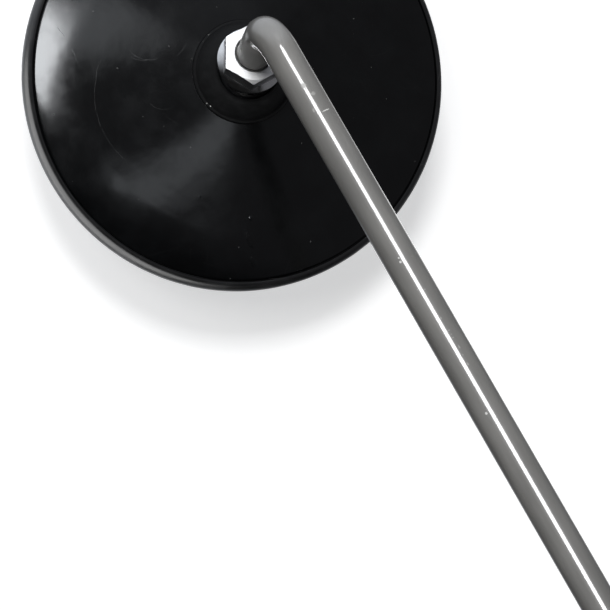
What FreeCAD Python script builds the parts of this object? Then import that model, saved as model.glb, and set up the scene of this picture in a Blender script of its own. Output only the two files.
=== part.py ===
import FreeCAD, Part
import math
import os

import Sketcher

# A round motorcycle mirror on a bent stem. The origin is the seat on the handlebar perch,
# +Z runs up the stem, and the glass looks towards -Y. The head turns on a ball at the
# stem's upper end. Pieces of the head are drawn with the ball's centre as their origin
# and the head's axis along +Y, and are then set at the angle at which the head rests.

doc = FreeCAD.newDocument("motorcycle_mirror")
dims = doc.addObject("Spreadsheet::Sheet", "dims")

DRIVING_DIMENSIONS = (
    # stem: a bent rod with a thread at each end
    ("stem_radius", 5.0),
    ("neck_axis_height", 215.0),
    ("bend_radius", 8.5),
    ("neck_straight", 17.0),
    ("perch_thread_length", 28.0),
    ("thread_crest_radius", 4.9),
    ("thread_pitch_radius", 4.6),
    ("thread_gap", 0.05),
    ("thread_chamfer", 1.0),
    # nuts and washers
    ("nut_across_flats", 16.0),
    ("head_nut_height", 6.0),
    ("base_nut_height", 8.0),
    ("nut_countersink_radius", 5.6),
    ("nut_corner_cut", 0.05),
    ("nut_corner_slope", 18.0),
    ("shank_sink", 0.3),
    ("washer_radius", 9.75),
    ("washer_bore_radius", 5.25),
    ("washer_thickness", 2.0),
    ("washer_chamfer", 1.0),
    ("washer_chamfer_slope", 30.0),
    # ball stud
    ("ball_radius", 9.0),
    ("stud_neck_radius", 6.2),
    ("stud_height", 8.9),
    ("stud_bore_floor", 1.0),
    # liners and pressure cup round the ball
    ("ball_gap", 0.1),
    ("liner_thickness", 0.9),
    ("socket_gap", 0.15),
    ("rear_liner_start", 59.0),
    ("rear_liner_end", 98.0),
    ("front_liner_start", 126.0),
    ("cup_start", 120.0),
    ("cup_floor", 1.3),
    ("cup_bore_gap", 0.2),
    ("seat_gap", 0.05),
    # disc spring, spring plate and screws
    ("spring_inner_radius", 4.5),
    ("spring_outer_radius", 9.0),
    ("spring_sheet", 0.8),
    ("spring_height", 1.45),
    ("plate_radius", 23.0),
    ("plate_thickness", 1.2),
    ("plate_hole_radius", 4.5),
    ("screw_circle_radius", 18.0),
    ("screw_radius", 1.45),
    ("screw_hole_gap", 0.25),
    ("screw_head_radius", 2.8),
    ("screw_head_height", 1.9),
    ("screw_length", 6.5),
    ("screw_count", 3.0),
    ("post_radius", 3.2),
    # housing shell
    ("shell_wall", 2.0),
    ("shell_edge_gap", 0.6),
    ("shell_edge_round", 0.6),
    ("shell_edge_proud", 0.3),
    ("cone_slope", 11.5),
    ("shoulder_width", 14.3),
    ("shoulder_curve", 81.0),
    ("boss_seat_depth", 3.0),
    ("boss_seat_radius", 15.4),
    ("flange_thickness", 2.2),
    ("hub_radius", 12.0),
    ("hub_taper_start", 0.5),
    ("hub_lip_angle", 66.0),
    ("hub_lip_wall", 1.3),
    ("hub_plate_gap", 0.5),
    # rubber boss over the hub
    ("boss_radius", 15.2),
    ("boss_edge_height", 0.9),
    ("boss_step", 0.6),
    ("boss_side_radius", 11.0),
    ("boss_crown_radius", 10.5),
    ("boss_crown_height", 5.3),
    ("boss_crown_rise", 0.2),
    ("boss_mouth_radius", 8.9),
    ("boss_mouth_drop", 0.3),
    ("boss_hub_gap", 0.1),
    # rim ring, glass and pad
    ("rim_radius", 63.0),
    ("rim_front_depth", 21.0),
    ("rim_height", 7.4),
    ("rim_wall", 1.1),
    ("rim_lip", 1.25),
    ("rim_front_round", 0.8),
    ("rim_back_round", 1.8),
    ("rim_back_overlap", 1.0),
    ("rim_front_overlap", 2.3),
    ("rim_fit_gap", 0.1),
    ("notch_width", 1.2),
    ("notch_depth", 1.1),
    ("notch_azimuth", 18.0),
    ("notch_spacing", 11.3),
    ("glass_curve_radius", 1400.0),
    ("glass_thickness", 2.5),
    ("glass_edge_gap", 0.3),
    ("pad_inner_radius", 27.0),
    ("pad_edge_margin", 4.5),
    ("pad_thickness", 1.5),
    # how the head rests on its ball
    ("rest_tilt", -9.0),
    ("rest_pan", -1.5),
)
for row, (alias, value) in enumerate(DRIVING_DIMENSIONS, start=1):
    dims.set("A%d" % row, alias)
    dims.set("B%d" % row, str(value))
    dims.setAlias("B%d" % row, alias)
doc.recompute()


def size(expression):
    """Value of an expression in the sheet's names."""
    return float(dims.evalExpression(expression))


def origin_feature(body, role):
    return next(item for item in body.Origin.OriginFeatures if item.Role == role)


def new_body(label):
    body = doc.addObject("PartDesign::Body", label)
    body.Label = label
    return body


def new_sketch(body, name, plane, height="0"):
    """Empty sketch on one of the body's origin planes, raised along the plane's normal."""
    sketch = body.newObject("Sketcher::SketchObject", name)
    sketch.AttachmentSupport = (origin_feature(body, plane), [""])
    sketch.MapMode = "FlatFace"
    sketch.setExpression("AttachmentOffset.Base.z", height)
    return sketch


def fix_point(sketch, name, edge, end, across, up):
    """Hold one end of an edge at two expressions, measured from the sketch's origin."""
    for letter, kind, expression in (("x", "DistanceX", across), ("y", "DistanceY", up)):
        index = sketch.addConstraint(
            Sketcher.Constraint(kind, -1, 1, edge, end, size(expression)))
        sketch.renameConstraint(index, letter + name)
        sketch.setExpression("Constraints." + letter + name, expression)


def arc_edge(start, end, radius, turn):
    """Arc shorter than half a circle from start to end, turning left or right."""
    chord = end - start
    reach = math.sqrt(max(radius ** 2 - (chord.Length / 2) ** 2, 0.0))
    side = FreeCAD.Vector(-chord.y, chord.x, 0) / chord.Length
    centre = (start + end) / 2 + side * (reach if turn == "left" else -reach)
    first, last = (start, end) if turn == "left" else (end, start)
    circle = Part.Circle(centre, FreeCAD.Vector(0, 0, 1), radius)
    first_angle = math.atan2(first.y - centre.y, first.x - centre.x)
    last_angle = math.atan2(last.y - centre.y, last.x - centre.x)
    return Part.ArcOfCircle(circle, first_angle, last_angle)


def draw_outline(sketch, corners, closed=True):
    """Edges through corners (across, up), or (across, up, radius, turn) to leave by an arc."""
    points = [FreeCAD.Vector(size(corner[0]), size(corner[1]), 0) for corner in corners]
    edge_count = len(corners) if closed else len(corners) - 1
    starts = []
    ends = []
    for number in range(edge_count):
        corner = corners[number]
        start = points[number]
        end = points[(number + 1) % len(points)]
        if len(corner) == 2:
            edge = sketch.addGeometry(Part.LineSegment(start, end))
            turn = "left"
        else:
            turn = corner[3]
            edge = sketch.addGeometry(arc_edge(start, end, size(corner[2]), turn))
        starts.append((edge, 1 if turn == "left" else 2))
        ends.append((edge, 2 if turn == "left" else 1))
    for number in range(edge_count if closed else edge_count - 1):
        following = starts[(number + 1) % edge_count]
        sketch.addConstraint(Sketcher.Constraint("Coincident", *ends[number], *following))
    for number, corner in enumerate(corners):
        place = starts[number] if number < edge_count else ends[-1]
        fix_point(sketch, str(number), *place, corner[0], corner[1])
        if len(corner) == 4:
            index = sketch.addConstraint(
                Sketcher.Constraint("Radius", starts[number][0], size(corner[2])))
            sketch.renameConstraint(index, "radius%d" % number)
            sketch.setExpression("Constraints.radius%d" % number, corner[2])


def draw_circle(sketch, across, up, radius):
    edge = sketch.addGeometry(
        Part.Circle(FreeCAD.Vector(size(across), size(up), 0), FreeCAD.Vector(0, 0, 1), size(radius)))
    fix_point(sketch, "centre", edge, 3, across, up)
    index = sketch.addConstraint(Sketcher.Constraint("Radius", edge, size(radius)))
    sketch.renameConstraint(index, "radius")
    sketch.setExpression("Constraints.radius", radius)


def revolved(body, name, plane, corners, kind="Revolution"):
    """Outline turned round the sketch's upright axis, added to the body or cut from it."""
    sketch = new_sketch(body, name + "_outline", plane)
    draw_outline(sketch, corners)
    feature = body.newObject("PartDesign::" + kind, name)
    feature.Profile = sketch
    feature.ReferenceAxis = (sketch, ["V_Axis"])
    feature.Angle = 360
    doc.recompute()
    return feature


def padded(body, name, sketch, length, kind="Pad", reverse=False):
    feature = body.newObject("PartDesign::" + kind, name)
    feature.Profile = sketch
    feature.Reversed = reverse
    feature.setExpression("Length", length)
    doc.recompute()
    return feature


def polar_copies(body, name, features, axis, count, angle):
    pattern = body.newObject("PartDesign::PolarPattern", name)
    pattern.Originals = features
    pattern.Axis = (origin_feature(body, axis), [""])
    pattern.setExpression("Angle", angle)
    pattern.setExpression("Occurrences", count)
    body.Tip = pattern
    doc.recompute()
    return pattern


# Shared sizes, worked out from the driving dimensions
liner_inner = "(dims.ball_radius + dims.ball_gap)"
liner_outer = "(" + liner_inner + " + dims.liner_thickness)"
socket = "(" + liner_outer + " + dims.socket_gap)"
nut_seat = "(dims.stud_height + dims.washer_thickness)"
nut_face = "(" + nut_seat + " + dims.head_nut_height)"
shank_end = "(" + nut_face + " - dims.shank_sink)"
ball_to_stem = "(" + nut_face + " + dims.neck_straight + dims.bend_radius)"
engaged_thread = "(dims.thread_pitch_radius - dims.thread_gap)"
base_nut_top = "(dims.washer_thickness + dims.base_nut_height)"

cup_back = "(-" + socket + " - dims.cup_floor)"
spring_back = "(" + cup_back + " - dims.seat_gap)"
plate_back = "(" + spring_back + " - dims.spring_height - dims.seat_gap)"
plate_front = "(" + plate_back + " - dims.plate_thickness)"

rim_front = "(-dims.rim_front_depth)"
rim_back = "(" + rim_front + " + dims.rim_height)"
flange_back = "(" + rim_back + " - dims.rim_lip)"
flange_front = "(" + flange_back + " - dims.flange_thickness)"
channel_front = "(" + rim_front + " + dims.rim_lip)"
channel_radius = "(dims.rim_radius - dims.rim_wall)"
flange_radius = "(" + channel_radius + " - dims.rim_fit_gap)"
rim_mouth = "(" + channel_radius + " - dims.rim_front_overlap)"
rim_back_mouth = "(" + channel_radius + " - dims.rim_back_overlap)"
shell_edge = "(" + rim_back_mouth + " - dims.shell_edge_gap)"
glass_radius = "(" + channel_radius + " - dims.glass_edge_gap)"
glass_front = "(" + channel_front + " + dims.seat_gap - dims.glass_curve_radius" \
    + " + sqrt(dims.glass_curve_radius ^ 2 - " + rim_mouth + " ^ 2))"
glass_back = "(" + glass_front + " + dims.glass_thickness)"
pad_radius = "(" + glass_radius + " - dims.pad_edge_margin)"

boss_seat = "(-dims.boss_seat_depth)"
inner_seat = "(" + boss_seat + " - dims.shell_wall)"
dome_edge = "(" + rim_back + " + dims.shell_edge_proud)"
shoulder = "(" + shell_edge + " - dims.shoulder_width)"
shoulder_height = "(" + boss_seat + " - (" + shoulder + " - dims.boss_seat_radius)" \
    + " * tan(dims.cone_slope))"


def glass_sag(radius):
    """How far the glass falls back from its middle at a radius."""
    curve = "dims.glass_curve_radius"
    return "(%s - sqrt(%s ^ 2 - %s ^ 2))" % (curve, curve, radius)


def on_sphere(radius, angle):
    """Point of the outline on a sphere round the ball's centre, angle from the head's axis."""
    return "%s * sin(%s)" % (radius, angle), "%s * cos(%s)" % (radius, angle)


def seat_at_ball(body, rotation):
    """Put a piece drawn round the ball's centre in its place on the stem."""
    place = "placement(vector(0; -%s; dims.neck_axis_height); %s)"
    body.setExpression("Placement", place % (ball_to_stem, rotation))


UPRIGHT = "rotation(vector(1; 0; 0); 0)"
TILTED = "rotation(vector(1; 0; 0); dims.rest_tilt)"
HEAD = TILTED + " * rotation(vector(0; 0; 1); dims.rest_pan)"
ON_NECK = "rotation(vector(1; 0; 0); -90)"

# Stem: one rod, bent square near its top. Where a nut sits, the thread is drawn at its
# pitch radius, and where it is free, at its crest.
stem = new_body("stem")
stem_route = new_sketch(stem, "stem_route", "YZ_Plane")
draw_outline(stem_route, [
    ("0", base_nut_top),
    ("0", "dims.neck_axis_height - dims.bend_radius", "dims.bend_radius", "left"),
    ("-dims.bend_radius", "dims.neck_axis_height"),
    ("-dims.bend_radius - dims.neck_straight - dims.shank_sink", "dims.neck_axis_height"),
], closed=False)
stem_section = new_sketch(stem, "stem_section", "XY_Plane", base_nut_top)
draw_circle(stem_section, "0", "0", "dims.stem_radius")
stem_rod = stem.newObject("PartDesign::AdditivePipe", "stem_rod")
stem_rod.Profile = stem_section
stem_rod.Spine = stem_route
doc.recompute()
revolved(stem, "perch_thread", "XZ_Plane", [
    ("0", base_nut_top),
    (engaged_thread, base_nut_top),
    (engaged_thread, "0"),
    ("dims.thread_crest_radius", "0"),
    ("dims.thread_crest_radius", "dims.thread_chamfer - dims.perch_thread_length"),
    ("dims.thread_crest_radius - dims.thread_chamfer", "-dims.perch_thread_length"),
    ("0", "-dims.perch_thread_length"),
])
neck_thread_section = new_sketch(
    stem, "neck_thread_section", "XZ_Plane", ball_to_stem + " - " + shank_end)
draw_circle(neck_thread_section, "0", "dims.neck_axis_height", engaged_thread)
padded(stem, "neck_thread", neck_thread_section,
       shank_end + " + dims.stud_bore_floor - dims.thread_gap")


def lock_nut(label, height):
    """Hexagon nut, face up, with its corners cut back and a countersunk bore."""
    nut = new_body(label)
    corner_radius = "dims.nut_across_flats / sqrt(3)"
    hexagon = new_sketch(nut, label + "_hexagon", "XY_Plane")
    draw_outline(hexagon, [
        ("%s * cos(%d)" % (corner_radius, angle), "%s * sin(%d)" % (corner_radius, angle))
        for angle in range(0, 360, 60)
    ])
    padded(nut, label + "_blank", hexagon, height)
    revolved(nut, label + "_bore", "XZ_Plane", [
        ("0", "-" + height),
        ("dims.thread_pitch_radius", "-" + height),
        ("dims.thread_pitch_radius",
         height + " - dims.nut_countersink_radius + dims.thread_pitch_radius"),
        ("dims.nut_countersink_radius", height),
        ("dims.nut_countersink_radius", "2 * " + height),
        ("0", "2 * " + height),
    ], "Groove")
    revolved(nut, label + "_corners", "XZ_Plane", [
        ("dims.nut_across_flats / 2 - dims.nut_corner_cut", height),
        (corner_radius + " + dims.nut_corner_cut", height),
        (corner_radius + " + dims.nut_corner_cut",
         height + " - (%s + 2 * dims.nut_corner_cut - dims.nut_across_flats / 2)"
         " * tan(dims.nut_corner_slope)" % corner_radius),
    ], "Groove")
    return nut


# Lock nuts: a thin one against the ball stud and a full one over the perch
head_lock_nut = lock_nut("head_lock_nut", "dims.head_nut_height")
head_lock_nut.setExpression(
    "Placement", "placement(vector(0; %s - %s; dims.neck_axis_height); %s)"
    % (nut_seat, ball_to_stem, ON_NECK))
base_lock_nut = lock_nut("base_lock_nut", "dims.base_nut_height")
base_lock_nut.setExpression("Placement.Base.z", "dims.washer_thickness")


def chamfered_washer(label):
    """Pressed washer whose upper edge is coned off."""
    washer = new_body(label)
    revolved(washer, label + "_ring", "XZ_Plane", [
        ("dims.washer_bore_radius", "0"),
        ("dims.washer_radius", "0"),
        ("dims.washer_radius", "dims.washer_thickness - dims.washer_chamfer"),
        ("dims.washer_radius - dims.washer_chamfer / tan(dims.washer_chamfer_slope)",
         "dims.washer_thickness"),
        ("dims.washer_bore_radius", "dims.washer_thickness"),
    ])
    return washer


# Washers: one between the ball stud and its nut, one on the perch
head_washer = chamfered_washer("head_washer")
head_washer.setExpression(
    "Placement", "placement(vector(0; dims.stud_height - %s; dims.neck_axis_height); %s)"
    % (ball_to_stem, ON_NECK))
base_washer = chamfered_washer("base_washer")

# Ball stud: ball and neck turned in one piece and screwed on the stem's end
ball_stud = new_body("ball_stud")
revolved(ball_stud, "stud_turning", "XY_Plane", [
    ("0", "-dims.ball_radius", "dims.ball_radius", "left"),
    ("dims.stud_neck_radius", "sqrt(dims.ball_radius ^ 2 - dims.stud_neck_radius ^ 2)"),
    ("dims.stud_neck_radius", "dims.stud_height"),
    ("dims.thread_pitch_radius", "dims.stud_height"),
    ("dims.thread_pitch_radius", "-dims.stud_bore_floor"),
    ("0", "-dims.stud_bore_floor"),
])
seat_at_ball(ball_stud, UPRIGHT)

# Liners: nylon shells with the ball's own centre, which slip on both of their faces
rear_liner = new_body("rear_liner")
revolved(rear_liner, "rear_liner_ring", "XY_Plane", [
    (*on_sphere(liner_inner, "dims.rear_liner_end"), liner_inner, "left"),
    on_sphere(liner_inner, "dims.rear_liner_start"),
    (*on_sphere(liner_outer, "dims.rear_liner_start"), liner_outer, "right"),
    on_sphere(liner_outer, "dims.rear_liner_end"),
])
seat_at_ball(rear_liner, TILTED)

front_liner = new_body("front_liner")
revolved(front_liner, "front_liner_cap", "XY_Plane", [
    ("0", "-" + liner_inner, liner_inner, "left"),
    on_sphere(liner_inner, "dims.front_liner_start"),
    (*on_sphere(liner_outer, "dims.front_liner_start"), liner_outer, "right"),
    ("0", "-" + liner_outer),
])
seat_at_ball(front_liner, HEAD)

# Pressure cup: slides in the hub's bore and holds the front liner to the ball
pressure_cup = new_body("pressure_cup")
cup_radius = "(" + socket + " - dims.cup_bore_gap)"
revolved(pressure_cup, "cup_turning", "XY_Plane", [
    ("0", "-" + socket, socket, "left"),
    on_sphere(socket, "dims.cup_start"),
    (cup_radius, socket + " * cos(dims.cup_start)"),
    (cup_radius, cup_back),
    ("0", cup_back),
])
seat_at_ball(pressure_cup, HEAD)

disc_spring = new_body("disc_spring")
revolved(disc_spring, "spring_cone", "XY_Plane", [
    ("dims.spring_inner_radius", spring_back),
    ("dims.spring_inner_radius", spring_back + " - dims.spring_sheet"),
    ("dims.spring_outer_radius", spring_back + " - dims.spring_height"),
    ("dims.spring_outer_radius", spring_back + " - dims.spring_height + dims.spring_sheet"),
])
seat_at_ball(disc_spring, HEAD)

# Spring plate: a flat steel disc across the hub, on three posts of the shell
spring_plate = new_body("spring_plate")
revolved(spring_plate, "plate_disc", "XY_Plane", [
    ("dims.plate_hole_radius", plate_back),
    ("dims.plate_hole_radius", plate_front),
    ("dims.plate_radius", plate_front),
    ("dims.plate_radius", plate_back),
])
plate_hole_circle = new_sketch(spring_plate, "plate_hole_circle", "XZ_Plane", "-" + plate_front)
draw_circle(plate_hole_circle, "dims.screw_circle_radius", "0",
            "dims.screw_radius + dims.screw_hole_gap")
plate_hole = padded(spring_plate, "plate_hole", plate_hole_circle,
                    "2 * dims.plate_thickness", "Pocket")
polar_copies(spring_plate, "plate_holes", [plate_hole], "Y_Axis", "dims.screw_count", "360")
seat_at_ball(spring_plate, HEAD)

# Plate screws: pan-headed self-tapping screws, one in each post
plate_screws = new_body("plate_screws")
plate_screws.AllowCompound = True
screw_head_circle = new_sketch(plate_screws, "screw_head_circle", "XZ_Plane", "-" + plate_front)
draw_circle(screw_head_circle, "dims.screw_circle_radius", "0", "dims.screw_head_radius")
screw_head = padded(plate_screws, "screw_head", screw_head_circle, "dims.screw_head_height")
screw_shank_circle = new_sketch(plate_screws, "screw_shank_circle", "XZ_Plane", "-" + plate_front)
draw_circle(screw_shank_circle, "dims.screw_circle_radius", "0", "dims.screw_radius")
screw_shank = padded(plate_screws, "screw_shank", screw_shank_circle,
                     "dims.plate_thickness + dims.screw_length", reverse=True)
polar_copies(plate_screws, "screw_set", [screw_head, screw_shank], "Y_Axis",
             "dims.screw_count", "360")
seat_at_ball(plate_screws, HEAD)

# Housing shell: a shallow moulded cone that rounds over at its shoulder, with a flange for the
# rim ring and a hub for the ball
housing_shell = new_body("housing_shell")
inner_edge = "(" + shell_edge + " - dims.shell_wall)"
hub_lip_inner = on_sphere(socket, "dims.hub_lip_angle")
hub_front = "(" + plate_back + " + dims.hub_plate_gap)"
revolved(housing_shell, "shell_moulding", "XY_Plane", [
    (flange_radius, flange_front),
    (flange_radius, flange_back),
    (shell_edge, flange_back),
    (shell_edge, dome_edge + " - dims.shell_edge_round",
     "dims.shell_edge_round", "left"),
    (shell_edge + " - dims.shell_edge_round", dome_edge, "dims.shoulder_curve", "left"),
    (shoulder, shoulder_height),
    ("dims.boss_seat_radius", boss_seat),
    ("dims.hub_radius", boss_seat),
    ("dims.hub_radius", "dims.hub_taper_start"),
    (hub_lip_inner[0] + " + dims.hub_lip_wall", hub_lip_inner[1]),
    (*hub_lip_inner, socket, "right"),
    (socket, "0"),
    (socket, hub_front),
    ("dims.hub_radius", hub_front),
    ("dims.hub_radius", inner_seat),
    ("dims.boss_seat_radius", inner_seat),
    (shoulder, shoulder_height + " - dims.shell_wall", "dims.shoulder_curve", "right"),
    (inner_edge, dome_edge + " - dims.shell_wall"),
    (inner_edge, flange_front),
])
post_circle = new_sketch(housing_shell, "post_circle", "XZ_Plane", "-" + plate_back)
draw_circle(post_circle, "dims.screw_circle_radius", "0", "dims.post_radius")
post = padded(housing_shell, "post", post_circle,
              inner_seat + " - " + plate_back + " + dims.shell_wall / 4", reverse=True)
post_bore_circle = new_sketch(housing_shell, "post_bore_circle", "XZ_Plane", "-" + plate_back)
draw_circle(post_bore_circle, "dims.screw_circle_radius", "0",
            "dims.screw_radius + dims.thread_gap")
post_bore = padded(housing_shell, "post_bore", post_bore_circle,
                   "dims.screw_length + dims.thread_gap", "Pocket")
polar_copies(housing_shell, "posts", [post, post_bore], "Y_Axis", "dims.screw_count", "360")
seat_at_ball(housing_shell, HEAD)

# Rubber boss: a soft cover stretched over the hub, with a mouth for the stud's neck
rubber_boss = new_body("rubber_boss")
boss_inner = "(dims.hub_radius + dims.boss_hub_gap)"
mouth_height = "(dims.boss_crown_height - dims.boss_mouth_drop)"
revolved(rubber_boss, "boss_moulding", "XY_Plane", [
    (boss_inner, boss_seat),
    ("dims.boss_radius", boss_seat),
    ("dims.boss_radius", boss_seat + " + dims.boss_edge_height"),
    ("dims.boss_radius - dims.boss_step",
     boss_seat + " + dims.boss_edge_height + dims.boss_step / 2", "dims.boss_side_radius", "left"),
    ("dims.boss_crown_radius", "dims.boss_crown_height"),
    ("dims.boss_mouth_radius + dims.boss_step", "dims.boss_crown_height + dims.boss_crown_rise"),
    ("dims.boss_mouth_radius", mouth_height),
    (hub_lip_inner[0] + " + dims.boss_hub_gap", hub_lip_inner[1] + " + dims.boss_hub_gap"),
    (hub_lip_inner[0] + " + dims.hub_lip_wall + dims.boss_hub_gap",
     hub_lip_inner[1] + " + dims.boss_hub_gap"),
    (boss_inner, "dims.hub_taper_start + dims.boss_hub_gap"),
])
seat_at_ball(rubber_boss, HEAD)

# Rim ring: a channel that grips the shell's flange and the edge of the glass
rim_ring = new_body("rim_ring")
revolved(rim_ring, "rim_channel", "XY_Plane", [
    (rim_mouth, rim_front),
    ("dims.rim_radius - dims.rim_front_round", rim_front, "dims.rim_front_round", "left"),
    ("dims.rim_radius", rim_front + " + dims.rim_front_round"),
    ("dims.rim_radius", rim_back + " - dims.rim_back_round", "dims.rim_back_round", "left"),
    ("dims.rim_radius - dims.rim_back_round", rim_back),
    (rim_back_mouth, rim_back),
    (rim_back_mouth, flange_back),
    (channel_radius, flange_back),
    (channel_radius, channel_front),
    (rim_mouth, channel_front),
])
notch_outline = new_sketch(rim_ring, "notch_outline", "XZ_Plane", "-" + rim_front)
notch_inner = "dims.rim_radius - dims.rim_front_round"
notch_outer = "dims.rim_radius + dims.rim_front_round"
notch_side = "dims.notch_width / 2"
draw_outline(notch_outline, [
    ("(%s) * cos(dims.notch_azimuth) + (%s) * sin(dims.notch_azimuth)" % (reach, side),
     "(%s) * sin(dims.notch_azimuth) - (%s) * cos(dims.notch_azimuth)" % (reach, side))
    for reach, side in (
        (notch_inner, notch_side),
        (notch_outer, notch_side),
        (notch_outer, "-" + notch_side),
        (notch_inner, "-" + notch_side),
    )
])
notch = padded(rim_ring, "notch", notch_outline, "dims.notch_depth", "Pocket")
polar_copies(rim_ring, "notches", [notch], "Y_Axis", "2", "dims.notch_spacing")
seat_at_ball(rim_ring, HEAD)

# Mirror glass: a round, slightly convex pane, and a foam ring on its back
mirror_glass = new_body("mirror_glass")
revolved(mirror_glass, "glass_pane", "XY_Plane", [
    ("0", glass_front, "dims.glass_curve_radius", "left"),
    (glass_radius, glass_front + " + " + glass_sag(glass_radius)),
    (glass_radius, glass_back + " + " + glass_sag(glass_radius), "dims.glass_curve_radius", "right"),
    ("0", glass_back),
])
seat_at_ball(mirror_glass, HEAD)

glass_pad = new_body("glass_pad")
pad_front = "(" + glass_back + " + dims.seat_gap)"
pad_hole = "dims.pad_inner_radius"
revolved(glass_pad, "pad_ring", "XY_Plane", [
    (pad_hole, pad_front + " + " + glass_sag(pad_hole), "dims.glass_curve_radius", "left"),
    (pad_radius, pad_front + " + " + glass_sag(pad_radius)),
    (pad_radius, pad_front + " + dims.pad_thickness + " + glass_sag(pad_radius),
     "dims.glass_curve_radius", "right"),
    (pad_hole, pad_front + " + dims.pad_thickness + " + glass_sag(pad_hole)),
])
seat_at_ball(glass_pad, HEAD)

doc.recompute()

# Nothing is written unless every object of the document is sound
bodies = [item for item in doc.Objects if item.TypeId == "PartDesign::Body"]
for item in doc.Objects:
    if "Invalid" in item.State or "Error" in item.State:
        raise RuntimeError("%s is in state %s" % (item.Name, item.State))
for body in bodies:
    if body.Shape.isNull() or not body.Shape.isValid():
        raise RuntimeError("%s has no sound shape" % body.Label)

os.makedirs("parts", exist_ok=True)
for body in bodies:
    body.Shape.exportStep("parts/%s.step" % body.Label)
    box = body.Shape.BoundBox
    print("%-14s solids %d volume %9.1f  x %.1f %.1f  y %.1f %.1f  z %.1f %.1f" % (
        body.Label, len(body.Shape.Solids), body.Shape.Volume,
        box.XMin, box.XMax, box.YMin, box.YMax, box.ZMin, box.ZMax))
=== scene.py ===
import math

import bmesh
import bpy
from mathutils import Matrix, Vector


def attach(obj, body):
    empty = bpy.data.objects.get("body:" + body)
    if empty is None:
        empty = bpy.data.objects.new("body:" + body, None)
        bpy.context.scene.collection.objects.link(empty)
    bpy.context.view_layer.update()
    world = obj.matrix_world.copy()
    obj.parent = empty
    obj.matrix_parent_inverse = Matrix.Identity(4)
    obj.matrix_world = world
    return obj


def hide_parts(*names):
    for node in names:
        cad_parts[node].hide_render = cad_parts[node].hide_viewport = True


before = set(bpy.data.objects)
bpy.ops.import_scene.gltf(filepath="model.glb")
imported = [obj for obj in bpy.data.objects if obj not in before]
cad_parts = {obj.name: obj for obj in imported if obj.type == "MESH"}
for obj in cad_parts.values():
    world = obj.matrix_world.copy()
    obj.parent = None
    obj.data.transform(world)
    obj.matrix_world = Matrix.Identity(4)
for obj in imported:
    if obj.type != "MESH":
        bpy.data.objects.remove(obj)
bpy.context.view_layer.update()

# Stem
# A round steel rod, bent square near its top and painted grey. Its upper end is screwed
# into the ball stud, and its lower end is held by the perch on the handlebar.
MILLIMETRE = 0.001
FULL_TURN = 2 * math.pi
ROW_PLACE = Matrix.Scale(MILLIMETRE, 4)
STEM_RADIUS = 5.0
STEM_FOOT = 10.0
NECK_HEIGHT = 215.0
BEND_RADIUS = 8.5
NECK_END = -25.8
NECK_ROUND = 0.9
CORE_RADIUS = 4.55
CORE_FOOT = 1.9
NECK_CORE_LENGTH = 17.5
PAINT_PALE = (0.122, 0.120, 0.115, 1.0)
PAINT_DEEP = (0.096, 0.0945, 0.091, 1.0)
# Pale grey of bare nicks and scratches, which also paints a sheen on the rubbed spots
SCRAPE_AND_SHEEN_PAINT = (0.36, 0.36, 0.35, 1.0)
STEM_NICKS = (
    # place in millimetres, then reach across and along the stem: bare spots, and one long scratch
    ((1.7, 4.7, 140.5), (0.3, 0.5, 0.3)),
    ((1.8, 4.7, 139.3), (0.4, 0.5, 0.4)),
    ((2.05, 4.56, 92.2), (0.4, 0.5, 0.5)),
    ((-1.3, 4.8, 185.8), (1.5, 0.9, 0.22)),
)
STEM_RUBS_AND_SHEEN = (
    # the same for rubbed spots, where the paint has lost its gloss; their paler colour is a painted
    # sheen
    ((0.8, 4.93, 194.5), (1.0, 0.9, 1.7)),
    ((-0.5, 4.97, 191.4), (1.3, 0.9, 0.9)),
    ((1.7, 4.7, 187.4), (0.6, 0.6, 1.0)),
    ((1.4, 4.8, 130.5), (0.5, 0.6, 0.3)),
    ((-0.1, 5.0, 129.6), (0.6, 0.6, 0.3)),
    ((-0.1, 5.0, 120.7), (0.4, 0.6, 0.5)),
    ((-0.3, 5.0, 116.7), (0.5, 0.6, 0.25)),
    ((-0.3, 5.0, 115.4), (0.5, 0.6, 0.25)),
    ((-0.3, 5.0, 114.4), (0.5, 0.6, 0.25)),
    ((-0.5, 4.97, 111.5), (0.4, 0.6, 0.8)),
    ((-0.3, 4.99, 109.0), (0.4, 0.6, 0.4)),
    ((-0.2, 5.0, 106.2), (0.4, 0.6, 0.9)),
)


def push_face(shape, face, move):
    """Extrude one face and return the face at its far end."""
    grown = bmesh.ops.extrude_face_region(shape, geom=[face])["geom"]
    corners = [item for item in grown if isinstance(item, bmesh.types.BMVert)]
    bmesh.ops.translate(shape, verts=corners, vec=move)
    if face.is_valid:
        shape.faces.remove(face)
    return next(item for item in grown if isinstance(item, bmesh.types.BMFace))


def finish_piece(name, shape, place, body, finishes, sharp=35.0):
    """Turn a shape drawn in millimetres into a smooth piece that rides on a body."""
    bmesh.ops.recalc_face_normals(shape, faces=shape.faces)
    bmesh.ops.transform(shape, matrix=place, verts=shape.verts)
    mesh = bpy.data.meshes.new(name)
    shape.to_mesh(mesh)
    shape.free()
    mesh.shade_smooth()
    mesh.set_sharp_from_angle(angle=math.radians(sharp))
    for finish in finishes:
        mesh.materials.append(finish)
    piece = bpy.data.objects.new(name, mesh)
    bpy.context.scene.collection.objects.link(piece)
    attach(piece, body)
    return piece


def add_node(tree, kind, settings=(), sockets=()):
    """New node with its settings, and with values or links on its sockets."""
    node = tree.nodes.new(kind)
    for name, value in dict(settings).items():
        setattr(node, name, value)
    for name, value in dict(sockets).items():
        if isinstance(value, bpy.types.NodeSocket):
            tree.links.new(value, node.inputs[name])
        else:
            node.inputs[name].default_value = value
    return node


def new_finish(name, constants=()):
    """Material with its node tree and its shader, and values that are the same all over."""
    finish = bpy.data.materials.new(name)
    finish.use_nodes = True
    shader = finish.node_tree.nodes["Principled BSDF"]
    for socket, value in dict(constants).items():
        shader.inputs[socket].default_value = value
    return finish, finish.node_tree, shader


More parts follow.
